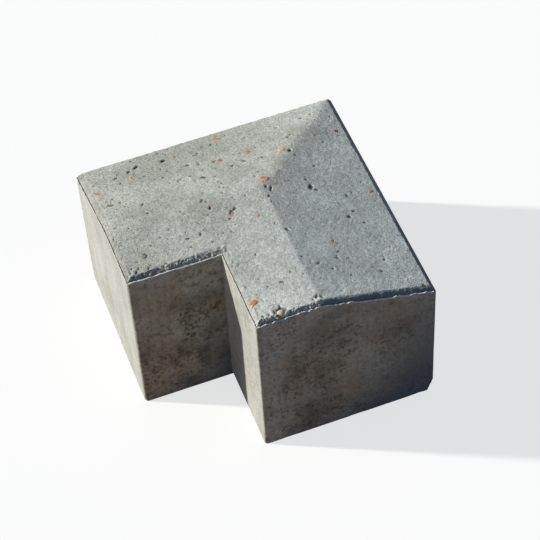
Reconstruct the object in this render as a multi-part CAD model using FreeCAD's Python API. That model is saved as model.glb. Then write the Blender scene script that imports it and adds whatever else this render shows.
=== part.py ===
import FreeCAD, Part
import os

os.makedirs("parts", exist_ok=True)

# Corner kerb stone for a 90 degree external angle: one block of cast concrete, an L of two
# equal arms in plan. Its top is level along the inner side of the L and falls in a batter to
# the two outer faces, and the two batters meet in a hip on the diagonal.
#
# Millimetres, +Z up. The origin is on the bed face, at the centre of the square that the arms
# span. The outer corner of the L points to +X +Y. One arm runs to -X and the other to -Y.

# Plan
arm_length = 190.0  # outer corner to the end of either arm
arm_width = 125.0  # outer face to inner face

# Section of an arm. A rim is the top edge of an upright face, where the arris begins.
inner_rim_height = 130.0
outer_rim_height = 107.0
crest_setback = 80.0  # outer face to the crest, where the level strip turns into the batter
arris_width = 3.5  # the sloping arris all round the top, measured in from the faces
arris_rise = 4.5  # and measured up from the rims
bevel_height = 10.5  # the bevel along the foot of the outer faces
bevel_depth = 4.0

# Upright corners
heel_radius = 1.5  # outer corner of the L
left_outer_radius = 4.5  # the arm that runs to -X
left_inner_radius = 2.5
right_outer_radius = 2.0  # the arm that runs to -Y
right_inner_radius = 1.5

# Places that follow from those sizes
outer_face = arm_length / 2
arm_end = outer_face - arm_length
inner_face = outer_face - arm_width
crest_line = outer_face - crest_setback
level_height = inner_rim_height + arris_rise
batter_slope = (inner_rim_height - outer_rim_height) / crest_setback
clear = 10.0  # how far a cutting tool reaches past the block
touching = 0.001  # two points nearer than this are the same point


def polygon_face(points):
    """A flat face inside the closed outline through the points."""
    return Part.Face(Part.makePolygon(points + points[:1]))


def left_arm():
    """The arm that runs to -X, mitred on the diagonal through the outer corner."""
    outer_level = outer_rim_height + arris_rise + batter_slope * arris_width
    section = [
        (inner_face, 0.0),
        (inner_face, inner_rim_height),
        (inner_face + arris_width, level_height),
        (crest_line, level_height),
        (outer_face - arris_width, outer_level),
        (outer_face, outer_rim_height),
        (outer_face, bevel_height),
        (outer_face - bevel_depth, 0.0),
    ]
    face = polygon_face([FreeCAD.Vector(arm_end, y, z) for y, z in section])
    arm = face.extrude(FreeCAD.Vector(arm_length + clear, 0, 0))
    return arm.cut(beyond_the_mitre()).cut(end_arris())


def beyond_the_mitre():
    """Everything on the other arm's side of the diagonal plane x = y."""
    low = arm_end - clear
    high = outer_face + 2 * clear
    corners = [(low, low), (high, low), (high, high)]
    face = polygon_face([FreeCAD.Vector(x, y, -clear) for x, y in corners])
    return face.extrude(FreeCAD.Vector(0, 0, level_height + 2 * clear))


def end_arris():
    """What the arris takes off the end of the left arm: it follows the rim of that end."""
    reach = FreeCAD.Vector(arris_width, 0, arris_rise)
    outside = inner_face - clear
    beyond = outer_face + clear
    outline = [
        (outside, inner_rim_height),
        (crest_line, inner_rim_height),
        (beyond, outer_rim_height - batter_slope * clear),
        (beyond, level_height + clear),
        (outside, level_height + clear),
    ]
    face = polygon_face([FreeCAD.Vector(arm_end, y, z) for y, z in outline])
    face.translate(-reach)  # it starts one reach outside the end and goes one past the arris
    return face.extrude(reach * 3)


def rounded_plan():
    """An upright L-shaped prism with the block's outline and its rounded upright corners."""
    outline = [
        (outer_face, outer_face),
        (arm_end, outer_face),
        (arm_end, inner_face),
        (inner_face, inner_face),
        (inner_face, arm_end),
        (outer_face, arm_end),
    ]
    face = polygon_face([FreeCAD.Vector(x, y, 0) for x, y in outline])
    prism = face.extrude(FreeCAD.Vector(0, 0, level_height + clear))
    corners = [
        (outer_face, outer_face, heel_radius),
        (arm_end, outer_face, left_outer_radius),
        (arm_end, inner_face, left_inner_radius),
        (outer_face, arm_end, right_outer_radius),
        (inner_face, arm_end, right_inner_radius),
    ]
    for x, y, radius in corners:
        prism = prism.makeFillet(radius, [upright_edge(prism, x, y)])
    return prism


def upright_edge(solid, x, y):
    """The solid's upright edge that stands at x, y."""
    for edge in solid.Edges:
        ends = [vertex.Point for vertex in edge.Vertexes]
        if all(FreeCAD.Vector(x, y, end.z).distanceToPoint(end) < touching for end in ends):
            return edge
    raise ValueError("no upright edge at %s, %s" % (x, y))


def kerb_block():
    """The whole block: two mitred arms, trimmed to the rounded plan."""
    left = left_arm()
    right = left.mirror(FreeCAD.Vector(0, 0, 0), FreeCAD.Vector(1, -1, 0))
    block = left.fuse(right).common(rounded_plan()).removeSplitter()
    return block.Solids[0]


kerb_block().exportStep("parts/kerb_block.step")
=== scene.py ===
import logging
import math
from dataclasses import dataclass, field
from enum import Enum

import bmesh
import bpy
import numpy as np
from mathutils import Matrix, Vector, geometry


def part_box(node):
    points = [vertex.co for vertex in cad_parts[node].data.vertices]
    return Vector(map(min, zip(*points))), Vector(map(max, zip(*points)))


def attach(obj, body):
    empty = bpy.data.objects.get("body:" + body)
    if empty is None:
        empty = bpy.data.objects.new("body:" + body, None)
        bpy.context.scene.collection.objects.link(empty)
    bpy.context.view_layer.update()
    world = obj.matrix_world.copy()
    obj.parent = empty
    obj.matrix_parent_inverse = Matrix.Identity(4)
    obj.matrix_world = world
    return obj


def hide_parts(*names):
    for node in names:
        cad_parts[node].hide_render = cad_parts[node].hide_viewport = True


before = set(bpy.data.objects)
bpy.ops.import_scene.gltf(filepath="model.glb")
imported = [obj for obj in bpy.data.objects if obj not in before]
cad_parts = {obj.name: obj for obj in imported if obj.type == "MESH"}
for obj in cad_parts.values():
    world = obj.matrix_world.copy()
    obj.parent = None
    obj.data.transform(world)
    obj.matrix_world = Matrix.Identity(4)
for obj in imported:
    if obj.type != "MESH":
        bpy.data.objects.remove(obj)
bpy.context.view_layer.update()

LOG = logging.getLogger("kerb")
MM = 0.001  # lengths below are in millimetres; meshes and lamps are in metres
NODE = "kerb_block"
BODY = "root"
NEARLY = 0.01  # places this close lie on the same line
ROUNDING = 1e-5  # what sums of lengths may be off by
FAR = 1e3  # further than any two places on the block are apart


class Finish(Enum):
    """The material slots of the block's mesh, by the way that part of the surface was made."""

    OPEN_TEXTURE = 0
    MOULDED = 1
    # the lip's crust, whose pale colour also paints the highlight of the lit lip
    LIP = 2


class Aggregate(Enum):
    """The kinds of grain that show in the concrete, by colour. A crumb is a loose bit of the paste."""

    RUST = (0.50, 0.21, 0.10)
    OCHRE = (0.60, 0.44, 0.22)
    TAN = (0.62, 0.47, 0.33)
    BROWN = (0.26, 0.17, 0.12)
    OLIVE = (0.17, 0.16, 0.09)
    RED = (0.24, 0.09, 0.07)
    SLATE = (0.16, 0.18, 0.19)
    QUARTZ = (0.70, 0.69, 0.64)
    CRUMB = (0.50, 0.51, 0.47)


KIND_SHARES = {
    Aggregate.RUST: 0.12,
    Aggregate.OCHRE: 0.10,
    Aggregate.TAN: 0.12,
    Aggregate.BROWN: 0.22,
    Aggregate.OLIVE: 0.08,
    Aggregate.RED: 0.05,
    Aggregate.SLATE: 0.15,
    Aggregate.QUARTZ: 0.14,
    Aggregate.CRUMB: 0.02,
}
WARM_KINDS = (Aggregate.RUST, Aggregate.OCHRE, Aggregate.BROWN, Aggregate.RED)


def smooth_step(value: np.ndarray, low: float, high: float) -> np.ndarray:
    """A soft step from 0 at low to 1 at high.

    Args:
        value: The values to map.
        low: Where the step starts.
        high: Where the step ends.

    Returns:
        The mapped values, between 0 and 1.
    """
    t = np.clip((value - low) / (high - low), 0.0, 1.0)
    return t * t * (3.0 - 2.0 * t)


def soft_ramp(value: np.ndarray, radius: np.ndarray | float) -> np.ndarray:
    """max(value, 0) with its corner rounded.

    Args:
        value: The values to map.
        radius: How far each side of zero the rounding reaches.

    Returns:
        The mapped values, never below zero.
    """
    bend = (value + radius) ** 2 / (4.0 * radius)
    return np.where(value < -radius, 0.0, np.where(value > radius, value, bend))


def blend(share: np.ndarray, start: float, end: float) -> np.ndarray:
    """A straight blend from start, where the share is 0, to end, where it is 1."""
    return start + (end - start) * share


@dataclass(frozen=True)
class Span:
    """A stretch, mostly in millimetres, along which one state turns softly into another."""

    start: float
    end: float

    def share(self, place: np.ndarray) -> np.ndarray:
        """How far along the stretch each place lies, from 0 to 1."""
        return smooth_step(place, self.start, self.end)


@dataclass(frozen=True)
class Spread:
    """The spread of a random radius, in millimetres."""

    least: float
    usual: float  # what is added to it on average
    most: float

    def draw(self, rng: np.random.Generator) -> float:
        """One random radius."""
        return min(self.least + rng.exponential(self.usual), self.most)


@dataclass(frozen=True)
class Noise:
    """Repeatable random fields in space, for the relief of the cast surface."""

    seed: int

    def hashed(self, cells: np.ndarray, salt: int = 0) -> np.ndarray:
        """A random number from 0 to 1 for each whole-number cell.

        Args:
            cells: Whole-number cell coordinates, one row each.
            salt: Picks one of several independent numbers for the same cell.

        Returns:
            One number for each row.
        """
        c = cells.astype(np.int64).astype(np.uint64)
        mixed = c[..., 0] * np.uint64(0x9E3779B97F4A7C15)
        mixed ^= c[..., 1] * np.uint64(0xC2B2AE3D27D4EB4F)
        mixed ^= c[..., 2] * np.uint64(0x165667B19E3779F9)
        mixed ^= np.uint64((self.seed * 0x27D4EB2F + salt * 0x85EBCA6B) & 0xFFFFFFFFFFFF)
        mixed = (mixed ^ (mixed >> np.uint64(31))) * np.uint64(0xBF58476D1CE4E5B9)
        mixed = (mixed ^ (mixed >> np.uint64(29))) * np.uint64(0x94D049BB133111EB)
        return (mixed >> np.uint64(40)).astype(np.float64) / float(1 << 24)

    def value(self, points: np.ndarray, size: float) -> np.ndarray:
        """Smooth noise from -1 to 1 whose lumps are about one size across.

        Args:
            points: Places in millimetres, one row each.
            size: The spacing of the lumps in millimetres.

        Returns:
            One value for each point.
        """
        scaled = points / size
        cell = np.floor(scaled)
        part = scaled - cell
        part = part * part * part * (part * (part * 6.0 - 15.0) + 10.0)
        total = np.zeros(len(points))
        for corner in np.ndindex(2, 2, 2):
            step = np.array(corner)
            weight = np.prod(np.where(step == 1, part, 1.0 - part), axis=1)
            total += weight * self.hashed(cell + step)
        return total * 2.0 - 1.0

    def cloud(self, points: np.ndarray, size: float, octaves: int = 3) -> np.ndarray:
        """Noise from about -1 to 1 with finer lumps added to coarse ones.

        Args:
            points: Places in millimetres, one row each.
            size: The spacing of the coarsest lumps.
            octaves: How many times the lumps are halved.

        Returns:
            One value for each point.
        """
        total = np.zeros(len(points))
        reach = 0.0
        for octave in range(octaves):
            share = 0.5**octave
            total += share * Noise(self.seed + octave).value(points, size * share)
            reach += share
        return total / reach


@dataclass(frozen=True)
class Layer:
    """One layer of random relief: how coarse its lumps are and how far they reach, in millimetres."""

    seed: int
    size: float
    depth: float
    octaves: int = 1

    def at(self, spots: np.ndarray) -> np.ndarray:
        """The relief at each place."""
        return self.depth * Noise(self.seed).cloud(spots, self.size, self.octaves)


@dataclass(frozen=True)
class BlockSizes:
    """The block's own sizes in millimetres. The overall ones come from the frame."""

    outer_face: float
    arm_end: float
    level_height: float
    arm_width: float = 125.0
    crest_setback: float = 80.0
    batter_fall: float = 23.0
    arris_width: float = 3.5
    arris_rise: float = 4.5
    bevel_height: float = 10.5
    bevel_depth: float = 4.0
    heel_radius: float = 1.5
    left_outer_radius: float = 4.5
    left_inner_radius: float = 2.5
    right_outer_radius: float = 2.0
    right_inner_radius: float = 1.5
    right_crest_rounding: float = 0.8
    left_crest_rounding: float = 6.0
    hip_rounding: float = 6.0
    hip_blend: Span = Span(-20.0, 0.0)  # across the hip, where the left crest's rounding ends
    worn_blend: Span = Span(0.0, 0.6)  # where a worn rim meets a crisp one
    corner_turn: float = 5.0  # how far from a corner the way outwards starts to turn
    bevel_take_up: float = 8.0  # how far in the bevel is taken up on the faces that it runs out on

    @staticmethod
    def from_frame() -> "BlockSizes":
        """The sizes, with the overall ones read from the frame's solid."""
        low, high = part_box(NODE)
        return BlockSizes(high.x / MM, low.x / MM, high.z / MM)

    @property
    def inner_face(self) -> float:
        """Where the two inner faces stand."""
        return self.outer_face - self.arm_width

    @property
    def crest(self) -> float:
        """Where the level strip turns into the batter."""
        return self.outer_face - self.crest_setback

    @property
    def corners(self) -> list[tuple[float, float, float, float, float]]:
        """Each rounded upright corner: its place, the signs that point out of it, its radius."""
        end, out, inner = self.arm_end, self.outer_face, self.inner_face
        return [
            (out, out, 1.0, 1.0, self.heel_radius),
            (end, out, -1.0, 1.0, self.left_outer_radius),
            (end, inner, -1.0, -1.0, self.left_inner_radius),
            (out, end, 1.0, -1.0, self.right_outer_radius),
            (inner, end, -1.0, -1.0, self.right_inner_radius),
        ]

    def edge_distance(self, x: np.ndarray, y: np.ndarray) -> np.ndarray:
        """How far in from the nearest upright face each place in the plan lies."""
        from_ends = np.minimum(x, y) - self.arm_end
        from_outer = self.outer_face - np.maximum(x, y)
        from_notch = np.maximum(x, y) - self.inner_face
        return np.minimum(np.minimum(from_ends, from_outer), from_notch)

    def crispness(self, x: np.ndarray, y: np.ndarray) -> np.ndarray:
        """How crisp the rim is that each place lies beside.

        Args:
            x: Places along X.
            y: Places along Y.

        Returns:
            0 beside the worn rims, which look along -X, and 1 beside the others.
        """
        from_notch = np.where(x > self.inner_face, x - self.inner_face, FAR)
        from_worn = np.where(y > self.inner_face, x - self.arm_end, from_notch)
        return self.worn_blend.share(from_worn - self.edge_distance(x, y))

    def top(self, x: np.ndarray, y: np.ndarray) -> np.ndarray:
        """The height of the level strip and the two batters, without the arris.

        Args:
            x: Places along X.
            y: Places along Y.

        Returns:
            The height at each place.
        """
        furthest = y + soft_ramp(x - y, self.hip_rounding)
        rounding = blend(self.hip_blend.share(x - y), self.left_crest_rounding, self.right_crest_rounding)
        fall = soft_ramp(furthest - self.crest, rounding)
        return self.level_height - fall * self.batter_fall / self.crest_setback

    def round_corners(self, plan: np.ndarray) -> np.ndarray:
        """Bends the plan's square corners to their radii.

        Args:
            plan: Places in the square-cornered plan, one row each.

        Returns:
            The same places in the rounded plan.
        """
        out = plan.copy()
        for x, y, sx, sy, radius in self.corners:
            local = radius - (np.array([x, y]) - plan) * np.array([sx, sy])
            near = (local > 0.0).all(axis=1) & (local <= radius + ROUNDING).all(axis=1)
            q = local[near]
            length = np.maximum(np.linalg.norm(q, axis=1), ROUNDING)
            q = q * (q.max(axis=1) / length)[:, None]
            out[near] = np.array([x, y]) - (radius - q) * np.array([sx, sy])
        return out

    def outward(self, plan: np.ndarray) -> np.ndarray:
        """Which way is out of the block at each place on its outline, turning evenly round the corners.

        Args:
            plan: Places on the outline of the plan, one row each.

        Returns:
            The directions, one row each.
        """
        on_notch = self.inner_face + NEARLY

        def near(gap: np.ndarray) -> np.ndarray:
            """1 on a face, falling to 0 where the corner ends."""
            return np.clip(1.0 - np.abs(gap) / self.corner_turn, 0.0, 1.0)

        ways = []
        for here, other in ((plan[:, 0], plan[:, 1]), (plan[:, 1], plan[:, 0])):
            inner = near(here - self.inner_face) * (other < on_notch)
            ways.append(near(self.outer_face - here) - near(here - self.arm_end) - inner)
        return np.column_stack(ways)

    def set_in_foot(self, plan: np.ndarray, z: np.ndarray) -> np.ndarray:
        """Moves the foot of the outer faces in by the bevel.

        Args:
            plan: Places in the rounded plan, one row each.
            z: Their heights.

        Returns:
            The same places with the bevel taken off.
        """
        depth = self.bevel_depth * np.clip(1.0 - z / self.bevel_height, 0.0, 1.0)
        share = np.clip(1.0 - (self.outer_face - plan) / self.bevel_take_up, 0.0, 1.0)
        return plan - share * depth[:, None]


@dataclass(frozen=True)
class Pit:
    """A hole that air or a lost grain left in the open top. Millimetres and degrees."""

    x: float
    y: float
    radius: float
    depth: float
    stretch: float = 1.0
    turn: float = 0.0


@dataclass(frozen=True)
class Stone:
    """A piece of aggregate that shows in the surface. Lengths are in millimetres."""

    kind: Aggregate
    x: float
    y: float
    radius: float
    proud: float = 0.18  # how far its worn top stands out
    flatness: float = 0.45
    sunk: float = 0.4  # how deep its middle lies, as a share of its half height
    height: float | None = None  # set only for a stone in the end face of the right arm


@dataclass
class SurfaceFeatures:
    """The holes and stones of the open top: the noticeable ones listed, the rest at random."""

    sizes: BlockSizes
    seed: int = 7
    small_pits: int = 330
    small_stones: int = 110
    rim_crumbs: int = 95  # along the end's crumbly rim
    notch_crumbs: int = 45  # and along the notch's
    closed_share: float = 0.6  # of the pits that the closed right arm lacks
    pit_radius: Spread = Spread(0.38, 0.17, 1.1)
    pit_stretch: tuple[float, float] = (1.0, 2.6)
    pit_depth: tuple[float, float] = (0.3, 0.8)
    pit_margin: float = 1.5  # how far the small pits keep from the upright faces
    stone_radius: Spread = Spread(0.4, 0.18, 1.1)
    stone_proud: tuple[float, float] = (0.05, 0.2)
    stone_margin: float = 2.0
    crumb_radius: Spread = Spread(0.35, 0.28, 1.3)
    crumb_proud: tuple[float, float] = (0.2, 0.9)
    crumb_flatness: float = 0.85
    crumb_sunk: float = 0.25
    crumb_from_rim: float = 1.4  # how far in from the rim the crumbs start
    crumb_past_arris: float = 0.6  # and how far past the arris they end
    tinge_reach: float = 1.7  # how far the tint goes, as a share of the stone's radius
    pits: list[Pit] = field(default_factory=list)
    stones: list[Stone] = field(default_factory=list)

    def place(self) -> None:
        """Fills the lists of pits and stones."""
        self.pits = [
            Pit(-36, 77, 1.2, 1.4, 2.0, 20),
            Pit(-55, 79, 1.0, 1.2, 2.6, 35),
            Pit(-61, 76, 0.8, 1.0, 2.2, 50),
            Pit(-54, 65, 0.5, 0.6, 8.0, 12),
            Pit(-17, 43, 1.2, 1.3, 2.2, -25),
            Pit(46, 45, 1.3, 1.5, 1.2, 0),
            Pit(47, 8, 2.0, 0.9, 1.5, 60),
            Pit(50, 5, 1.2, 0.7, 1.6, -30),
            Pit(17, 13, 0.8, 0.8, 2.4, 80),
            Pit(19, 9, 0.7, 0.8, 2.0, 70),
            Pit(16, 4, 0.9, 0.8, 1.5, 20),
            Pit(-12, -1, 1.5, 0.9, 1.6, 80),
            Pit(-9, 2, 0.9, 0.9, 1.8, 30),
            Pit(-15, -5, 0.8, 0.8, 1.5, 10),
            Pit(20, 11, 0.8, 0.9, 1.8, 70),
            Pit(17, -28, 0.9, 1.0, 1.9, -60),
            # Painted shade: this shallow pit around the large pebble darkens the ground about it, as its
            # shade would.
            Pit(-11, -90, 3.8, 1.5, 1.1, 0),
            Pit(14, -87.5, 1.0, 0.9, 1.6, 30),
            Pit(17, -88.5, 0.9, 0.9, 1.8, -40),
            Pit(11, -89.2, 0.8, 0.8, 1.4, 80),
            Pit(-19, -89.5, 0.9, 0.9, 1.8, 50),
            Pit(-23, -90.0, 0.8, 0.8, 1.6, 20),
            Pit(-86.5, -25.0, 1.0, 0.9, 2.0, 60),
            Pit(-84, -22.5, 0.7, 0.8, 1.5, 20),
            Pit(-78, -24.8, 0.8, 0.8, 2.4, 75),
            Pit(-66, -25.2, 0.7, 0.7, 1.6, 55),
        ]
        end_face = self.sizes.arm_end
        self.stones = [
            Stone(Aggregate.RUST, 19, 21, 3.0, 0.3),
            Stone(Aggregate.RUST, 16.2, 18.0, 1.4, 0.25),
            Stone(Aggregate.RUST, 19, 57, 2.7, 0.3),
            Stone(Aggregate.OCHRE, 4, 86, 2.0, 0.25),
            Stone(Aggregate.RUST, 6, 83, 1.7, 0.25),
            Stone(Aggregate.RUST, -24.5, -77, 2.8, 0.3),
            Stone(Aggregate.OCHRE, -27, -79.5, 1.5, 0.3),
            Stone(Aggregate.RUST, -21, -72, 0.9, 0.25),
            Stone(Aggregate.OCHRE, 41, 48, 2.9, 0.35),
            Stone(Aggregate.TAN, -11, -90.5, 3.0, 2.6, 0.85, 0.15),
            Stone(Aggregate.OCHRE, -15, -85.5, 1.0, 0.3),
            Stone(Aggregate.OLIVE, -77.4, -13.6, 3.1, 0.5),
            Stone(Aggregate.RED, 85, 59, 1.7, 0.35),
            Stone(Aggregate.BROWN, 86.5, -2, 1.7, 0.3),
            Stone(Aggregate.BROWN, 42, -43, 1.9, 0.3),
            Stone(Aggregate.RED, 45, -45, 0.9),
            Stone(Aggregate.QUARTZ, -79, 79, 1.2, 0.35),
            Stone(Aggregate.RUST, -88, 61, 1.7, 0.35),
            Stone(Aggregate.OCHRE, -86, 57, 0.9),
            Stone(Aggregate.RUST, -28, 78, 1.2, 0.35),
            Stone(Aggregate.BROWN, -1, 57, 2.1, 0.35),
            Stone(Aggregate.BROWN, -12, -2, 2.3, 0.3),
            Stone(Aggregate.BROWN, -41, 68, 1.3, 0.3),
            Stone(Aggregate.RUST, 3, -10, 1.3, 0.25),
            Stone(Aggregate.RUST, -60, 70, 1.4, 0.2),
            Stone(Aggregate.OCHRE, -62, 66, 1.2, 0.2),
            Stone(Aggregate.QUARTZ, 13, -91, 1.1, 0.6),
            Stone(Aggregate.CRUMB, 15.5, -92.6, 1.2, 0.7),
            Stone(Aggregate.CRUMB, 17.5, -91, 0.9, 0.6),
            Stone(Aggregate.BROWN, -25, 10, 1.7, 0.3),
            Stone(Aggregate.RUST, -27, end_face, 0.9, height=55.0),
            # Painted shade: the next two slate grains lie flush in the right arm's end face and stand for the
            # shade in small holes there.
            Stone(Aggregate.SLATE, -13.5, end_face, 0.9, 0.1, height=54.6),
            Stone(Aggregate.SLATE, -7, end_face, 0.9, 0.1, height=43.0),
            Stone(Aggregate.SLATE, 16, end_face, 1.3, 0.1, height=121.0),
        ]
        rng = np.random.default_rng(self.seed)
        for x, y in self.scatter(rng, self.small_pits, self.pit_margin):
            radius = self.pit_radius.draw(rng)
            stretch, turn = rng.uniform(*self.pit_stretch), rng.uniform(0, 180)
            depth, kept = rng.uniform(*self.pit_depth), rng.uniform()
            if kept > self.closed_share * (x > y):
                self.pits.append(Pit(x, y, radius, depth, stretch, turn))
        kinds, shares = list(KIND_SHARES), list(KIND_SHARES.values())
        for x, y in self.scatter(rng, self.small_stones, self.stone_margin):
            kind = kinds[rng.choice(len(kinds), p=shares)]
            radius, proud = self.stone_radius.draw(rng), rng.uniform(*self.stone_proud)
            self.stones.append(Stone(kind, x, y, radius, proud))
        self.stones += self.crumbs(rng)

    def crumbs(self, rng: np.random.Generator) -> list[Stone]:
        """Loose bits of paste along the two crumbly rims that look along -Y.

        Args:
            rng: The random numbers to draw from.

        Returns:
            The crumbs, which lie on the arris of the level strip.
        """
        s = self.sizes
        by_end = (s.inner_face, s.crest, s.arm_end, self.rim_crumbs)
        by_notch = (s.arm_end + s.arris_width, s.inner_face, s.inner_face, self.notch_crumbs)
        deepest = s.arris_width + self.crumb_past_arris
        found = []
        for start, end, rim, count in (by_end, by_notch):
            for _ in range(count):
                x, inward = rng.uniform(start, end), rng.uniform(self.crumb_from_rim, deepest)
                radius, proud = self.crumb_radius.draw(rng), rng.uniform(*self.crumb_proud)
                form = (radius, proud, self.crumb_flatness, self.crumb_sunk)
                found.append(Stone(Aggregate.CRUMB, x, rim + inward, *form))
        return found

    def tinge(self, x: np.ndarray, y: np.ndarray) -> np.ndarray:
        """How strongly a warm stone's dust tints the paste around it.

        Args:
            x: Places along X.
            y: Places along Y.

        Returns:
            The strength at each place, from 0 to 1.
        """
        strength = np.zeros_like(x)
        for stone in self.stones:
            if stone.kind in WARM_KINDS and stone.height is None:
                share = np.hypot(x - stone.x, y - stone.y) / (self.tinge_reach * stone.radius)
                strength = np.maximum(strength, np.exp(-(share**2)))
        return strength

    def scatter(self, rng: np.random.Generator, count: int, margin: float) -> list[tuple[float, float]]:
        """Random places on the top.

        Args:
            rng: The random numbers to draw from.
            count: How many places.
            margin: How far they keep from the upright faces.

        Returns:
            The places in the plan.
        """
        places: list[tuple[float, float]] = []
        while len(places) < count:
            x, y = rng.uniform(self.sizes.arm_end, self.sizes.outer_face, 2)
            if self.sizes.edge_distance(np.array([x]), np.array([y]))[0] > margin:
                places.append((float(x), float(y)))
        return places


@dataclass(frozen=True)
class MouldLip:
    """The thin broken lip that the mould's joint leaves along the rims, and the crease behind it."""

    sizes: BlockSizes
    height: float = 1.4
    usual: float = 0.95  # its usual height, as a share of that
    batter_extra: float = 0.15  # how much higher it is on the batters, as a share
    outer_share: float = 0.3  # how much of its height is left on the two outer faces
    edge_drop: float = 0.2  # how much lower its outermost line is, as a share
    edge_line: float = 0.1  # how far in that line reaches
    width: float = 1.05
    end_broader: float = 0.35  # how much broader it is on the right arm's end, as a share
    batter_narrower: float = 0.2  # and how much narrower on the batters
    worn_width: float = 0.5  # its width on the worn rims, as a share of that on the crisp ones
    back: Span = Span(-0.1, 0.25)  # where it falls to the arris, past its width
    to_batter: Span = Span(0.0, 12.0)  # past the crest
    past_end: Span = Span(2.0, 4.0)  # in from the right arm's end
    gaps: Layer = Layer(53, 14.0, 1.0, 3)
    whole: Span = Span(-0.75, -0.35)  # the gaps' values at which the lip is gone, and is whole
    teeth: Layer = Layer(59, 1.9, 1.0)
    tooth: float = 0.12  # how much of its height the teeth change
    end_tooth: float = 0.50  # and how much more they do on the right arm's end
    sway: Layer = Layer(61, 6.0, 0.12)
    ragged: Layer = Layer(63, 2.6, 0.40)
    crease_depth: float = 0.8
    crease_behind: float = 0.4  # how far behind the lip the crease lies
    crease_width: float = 0.34
    crease_gaps: Layer = Layer(65, 7.0, 1.0, 3)
    creased: Span = Span(-0.5, -0.1)  # the crease gaps' values at which there is none, and all of it

    def raised(
        self, spots: np.ndarray, distance: np.ndarray, crisp: np.ndarray, rim: np.ndarray, height: np.ndarray
    ) -> np.ndarray:
        """Puts the lip and its crease on the top.

        Args:
            spots: Places on the top.
            distance: How far in from the upright faces they lie.
            crisp: How crisp the nearest rim is, from 0 to 1.
            rim: The height at which the arris meets the upright faces.
            height: The surface without the lip.

        Returns:
            The surface with the lip and the crease behind it.
        """
        kept = self.whole.share(self.gaps.at(spots)) * np.where(self.on_outer(spots), self.outer_share, 1.0)
        on_batter = self.to_batter.share(np.maximum(spots[:, 0], spots[:, 1]) - self.sizes.crest)
        on_end = 1.0 - self.past_end.share(spots[:, 1] - self.sizes.arm_end)
        teeth = (self.tooth + self.end_tooth * on_end) * self.teeth.at(spots)
        jagged = self.usual + teeth + self.sway.at(spots)
        broad = 1.0 + self.end_broader * on_end - self.batter_narrower * on_batter + self.ragged.at(spots)
        share = 1.0 - self.back.share(distance - self.narrowing(crisp) * self.width * broad)
        full = self.height * (1.0 + self.batter_extra * on_batter)
        full *= 1.0 - self.edge_drop * (distance < self.edge_line)
        crest = np.maximum(height, rim + kept * full * jagged)
        return height + share * (crest - height) - self.crease_depth * self.crease(spots, distance, crisp)

    def crease(self, spots: np.ndarray, distance: np.ndarray, crisp: np.ndarray) -> np.ndarray:
        """How deep places lie in the crease behind the lip.

        Args:
            spots: Places on the top.
            distance: How far in from the upright faces they lie.
            crisp: How crisp the nearest rim is, from 0 to 1.

        Returns:
            The share of the crease's depth at each place. The two outer rims have no crease.
        """
        there = self.creased.share(self.crease_gaps.at(spots)) * ~self.on_outer(spots)
        middle = self.narrowing(crisp) * (self.width + self.crease_behind)
        return there * np.exp(-(((distance - middle) / self.crease_width) ** 2))

    def narrowing(self, crisp: np.ndarray) -> np.ndarray:
        """The lip's width as a share of its width on the crisp rims."""
        return blend(crisp, self.worn_width, 1.0)

    def on_outer(self, spots: np.ndarray) -> np.ndarray:
        """Which places lie within two lip widths of the two outer faces."""
        return np.maximum(spots[:, 0], spots[:, 1]) > self.sizes.outer_face - 2.0 * self.width

    def covers(self, x: np.ndarray, y: np.ndarray) -> np.ndarray:
        """Which places the lip's crust covers.

        Args:
            x: Places along X.
            y: Places along Y.

        Returns:
            True on the lip, but for the two outer rims, where too little of it is left.
        """
        width = self.width * np.where(self.sizes.crispness(x, y) > 0.5, 1.0, self.worn_width)
        on_lip = self.sizes.edge_distance(x, y) < width
        return on_lip & (np.maximum(x, y) < self.sizes.outer_face - self.width)


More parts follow.
